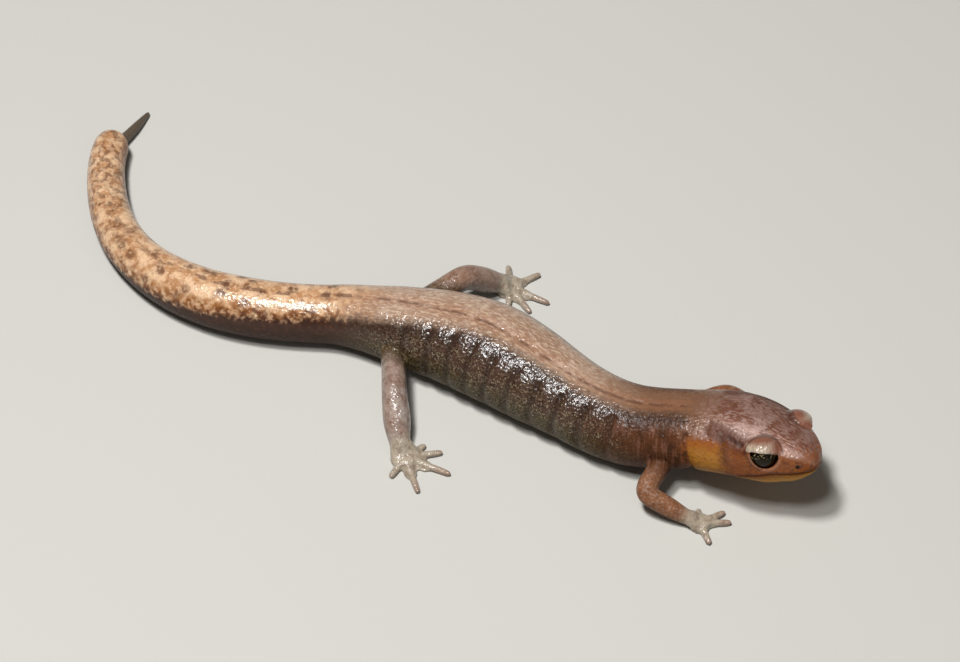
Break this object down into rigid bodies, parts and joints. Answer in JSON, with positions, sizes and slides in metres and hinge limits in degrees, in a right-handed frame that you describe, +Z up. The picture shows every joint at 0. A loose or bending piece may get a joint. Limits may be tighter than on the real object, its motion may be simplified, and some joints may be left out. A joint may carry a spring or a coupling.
{
  "type": "juarez false brook salamander, life-size still model",
  "caption": "Life-size still model of a small lungless salamander standing with its head raised, its legs spread and its stout tail curled forward.",
  "frame": {"origin": "middle of the model's bounding box seen from above, on the floor under the belly", "axes": "+X from the tail towards the head, +Y to the animal's left, +Z up from the floor"},
  "size_m": [0.087, 0.0314, 0.0103],
  "materials": {
    "head_skin": "wet glossy skin, reddish brown",
    "flank_skin": "wet glossy skin, dark brown with pale specks",
    "back_skin": "wet glossy skin, tan brown back and dark flank",
    "tail_skin": "wet glossy skin, orange tan mottled with dark brown",
    "tip_skin": "smooth dark brown new skin",
    "limb_skin": "wet skin, pinkish brown",
    "foot_skin": "wet skin, pale grey lavender",
    "eye": "glossy black eye flecked with gold"
  },
  "bodies": {
    "root": {"belly": "flank_skin", "chest": "flank_skin", "eye_left": "eye", "eye_right": "eye", "foot_left": "foot_skin", "foot_right": "foot_skin", "forearm_left": "limb_skin", "forearm_right": "limb_skin", "hand_left": "foot_skin", "hand_right": "foot_skin", "head": "head_skin", "neck": "head_skin", "pelvis": "back_skin", "shank_left": "limb_skin", "shank_right": "limb_skin", "tail_base": "tail_skin", "tail_end": "tail_skin", "tail_middle": "tail_skin", "tail_tip": "tip_skin", "thigh_left": "limb_skin", "thigh_right": "limb_skin", "upper_arm_left": "limb_skin", "upper_arm_right": "limb_skin"}
  },
  "joints": []
}
